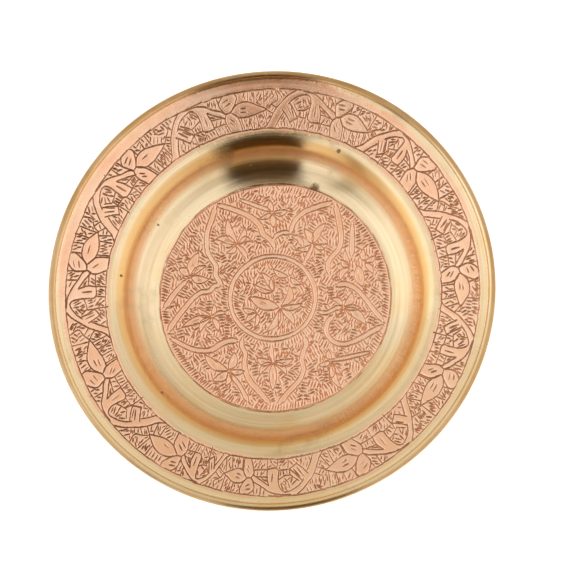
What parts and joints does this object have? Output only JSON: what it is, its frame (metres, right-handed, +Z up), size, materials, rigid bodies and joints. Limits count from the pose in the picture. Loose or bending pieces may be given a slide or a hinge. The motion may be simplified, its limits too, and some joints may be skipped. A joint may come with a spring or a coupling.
{
  "type": "round engraved brass tray",
  "caption": "Round spun brass tray with a flat well, cavetto wall, sloping flange and wired edge; engraved copper-washed floor field and flange band.",
  "frame": {"origin": "centre of the underside of the flat floor, where the tray rests on a table", "axes": "+Z up along the axis of revolution, out of the well; -Y is the front"},
  "size_m": [0.25, 0.25, 0.0283],
  "materials": {
    "polished_brass": "lathe-polished brass with fine concentric buffing marks",
    "copper_wash": "matte copper-pink wash over brass, hand-engraved lines darkened brown",
    "iron_wire": "drawn soft iron wire, dull"
  },
  "bodies": {
    "root": {"dish": "polished_brass", "rim_wire": "iron_wire", "floor_copper_layer": "copper_wash", "flange_copper_layer": "copper_wash"}
  },
  "joints": []
}
